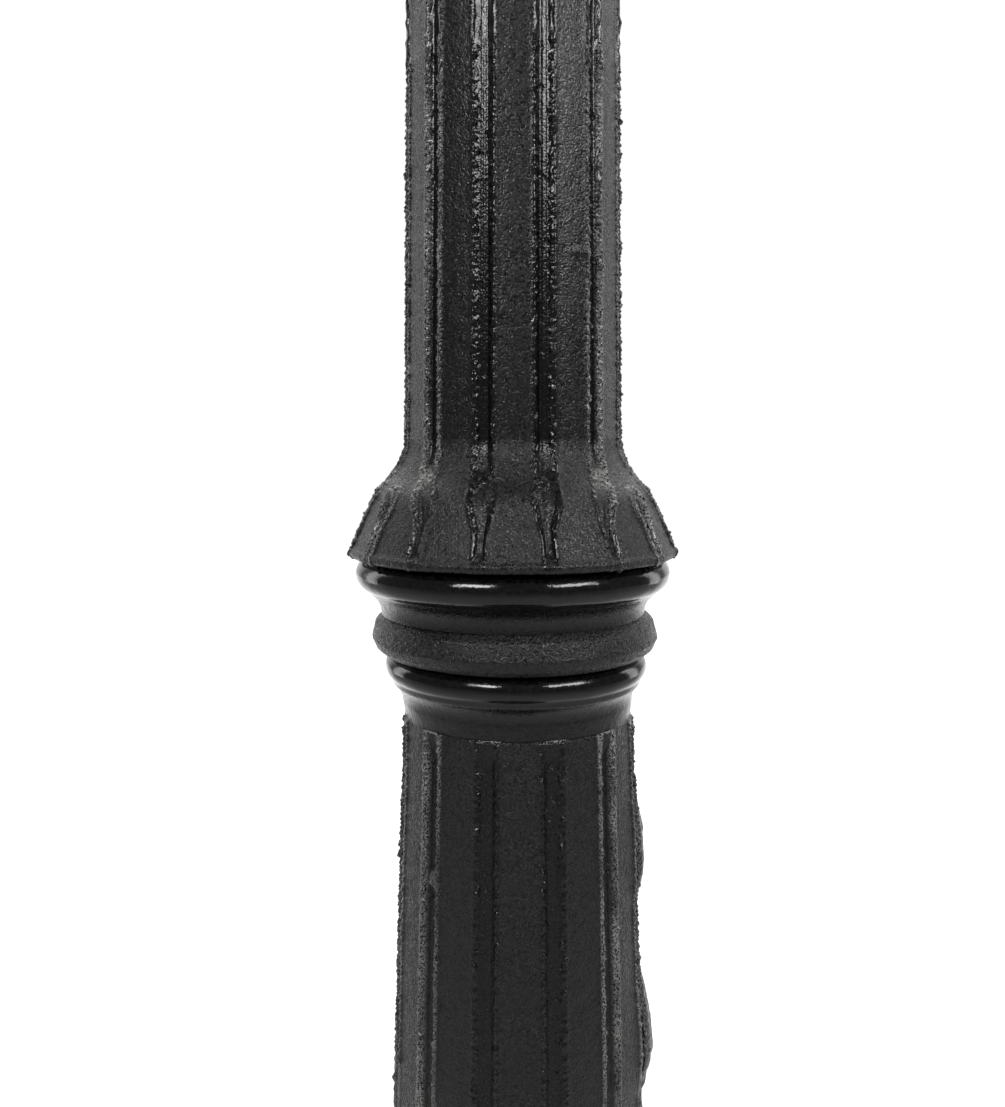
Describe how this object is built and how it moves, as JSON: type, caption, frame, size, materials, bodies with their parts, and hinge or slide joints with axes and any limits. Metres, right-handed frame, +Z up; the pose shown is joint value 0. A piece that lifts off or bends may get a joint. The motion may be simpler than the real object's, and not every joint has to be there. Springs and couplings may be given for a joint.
{
  "type": "street clock",
  "caption": "Double-dial street clock on a fluted cast iron post with a petal collar, scroll brackets and hinged bezels.",
  "frame": {"origin": "centre of the plinth's underside, on the ground", "axes": "+Z up along the post, front dial facing -Y, +X to the right of a viewer of the front dial"},
  "size_m": [0.488, 0.4, 2.4365],
  "materials": {
    "black_casting": "rough sand casting under gloss black paint",
    "black_alloy": "cast alloy under gloss black paint",
    "steel": "zinc plated",
    "brass": "satin brass",
    "enamel": "white enamel on sheet alloy",
    "hands": "satin black",
    "glass": "clear",
    "rubber": "matt",
    "plastic": "matt black moulding",
    "battery_can": "plain can"
  },
  "bodies": {
    "root": {"base_plinth": "black_casting", "base_bell": "black_casting", "base_bolts": "steel", "lower_shaft": "black_casting", "upper_shaft": "black_casting", "capital": "black_casting", "tie_rod": "steel", "tie_rod_nuts": "steel", "tie_rod_washers": "steel", "head_saddle": "black_casting", "capital_bolts": "steel", "saddle_bolts": "steel", "bracket_left": "black_casting", "bracket_right": "black_casting", "bracket_screws": "steel", "drum_case": "black_alloy", "crest_scroll_left": "black_casting", "crest_scroll_right": "black_casting", "finial_crown": "black_casting", "finial": "black_casting", "dial_screws": "steel", "movement_screws": "steel", "front_dial": "enamel", "front_hinge_pin": "steel", "front_back_plate": "brass", "front_front_plate": "brass", "front_motor": "plastic", "front_battery_holder": "plastic", "front_battery": "battery_can", "rear_dial": "enamel", "rear_hinge_pin": "steel", "rear_back_plate": "brass", "rear_front_plate": "brass", "rear_motor": "plastic", "rear_battery_holder": "plastic", "rear_battery": "battery_can"},
    "front_bezel_door": {"front_bezel": "black_alloy", "front_glass": "glass", "front_gasket": "rubber", "front_lock_screw": "brass"},
    "front_minute": {"front_centre_arbor": "brass", "front_minute_hand": "hands", "front_hand_nut": "brass"},
    "front_hour": {"front_hour_wheel": "brass", "front_hour_hand": "hands"},
    "front_minute_gear": {"front_minute_wheel": "brass"},
    "front_drive": {"front_motor_pinion": "steel"},
    "rear_bezel_door": {"rear_bezel": "black_alloy", "rear_glass": "glass", "rear_gasket": "rubber", "rear_lock_screw": "brass"},
    "rear_minute": {"rear_centre_arbor": "brass", "rear_minute_hand": "hands", "rear_hand_nut": "brass"},
    "rear_hour": {"rear_hour_wheel": "brass", "rear_hour_hand": "hands"},
    "rear_minute_gear": {"rear_minute_wheel": "brass"},
    "rear_drive": {"rear_motor_pinion": "steel"}
  },
  "joints": [
    {"name": "front_bezel_hinge", "type": "hinge", "parent": "root", "child": "front_bezel_door", "pos_m": [-0.231, -0.06, 2.077], "axis": [0, 0, -1], "range_deg": [0, 110]},
    {"name": "front_minute_arbor", "type": "hinge", "parent": "root", "child": "front_minute", "pos_m": [0, -0.05, 2.077], "axis": [0, 1, 0], "continuous": true},
    {"name": "front_hour_wheel_spin", "type": "hinge", "parent": "root", "child": "front_hour", "pos_m": [0, -0.05, 2.077], "axis": [0, 1, 0], "continuous": true},
    {"name": "front_minute_wheel_spin", "type": "hinge", "parent": "root", "child": "front_minute_gear", "pos_m": [0, -0.042, 2.047], "axis": [0, 1, 0], "continuous": true},
    {"name": "front_motor_pinion_spin", "type": "hinge", "parent": "root", "child": "front_drive", "pos_m": [0.036, -0.028, 2.077], "axis": [0, 1, 0], "continuous": true},
    {"name": "rear_bezel_hinge", "type": "hinge", "parent": "root", "child": "rear_bezel_door", "pos_m": [0.231, 0.06, 2.077], "axis": [0, 0, -1], "range_deg": [0, 110]},
    {"name": "rear_minute_arbor", "type": "hinge", "parent": "root", "child": "rear_minute", "pos_m": [0, 0.05, 2.077], "axis": [0, -1, 0], "continuous": true},
    {"name": "rear_hour_wheel_spin", "type": "hinge", "parent": "root", "child": "rear_hour", "pos_m": [0, 0.05, 2.077], "axis": [0, -1, 0], "continuous": true},
    {"name": "rear_minute_wheel_spin", "type": "hinge", "parent": "root", "child": "rear_minute_gear", "pos_m": [0, 0.042, 2.047], "axis": [0, -1, 0], "continuous": true},
    {"name": "rear_motor_pinion_spin", "type": "hinge", "parent": "root", "child": "rear_drive", "pos_m": [-0.036, 0.028, 2.077], "axis": [0, -1, 0], "continuous": true}
  ],
  "couplings": [
    {"joint": "front_hour_wheel_spin", "follows": "front_minute_arbor", "ratio": 0.083333},
    {"joint": "front_minute_wheel_spin", "follows": "front_minute_arbor", "ratio": -0.33333},
    {"joint": "front_motor_pinion_spin", "follows": "front_minute_arbor", "ratio": -5},
    {"joint": "rear_hour_wheel_spin", "follows": "rear_minute_arbor", "ratio": 0.083333},
    {"joint": "rear_minute_wheel_spin", "follows": "rear_minute_arbor", "ratio": -0.33333},
    {"joint": "rear_motor_pinion_spin", "follows": "rear_minute_arbor", "ratio": -5}
  ]
}
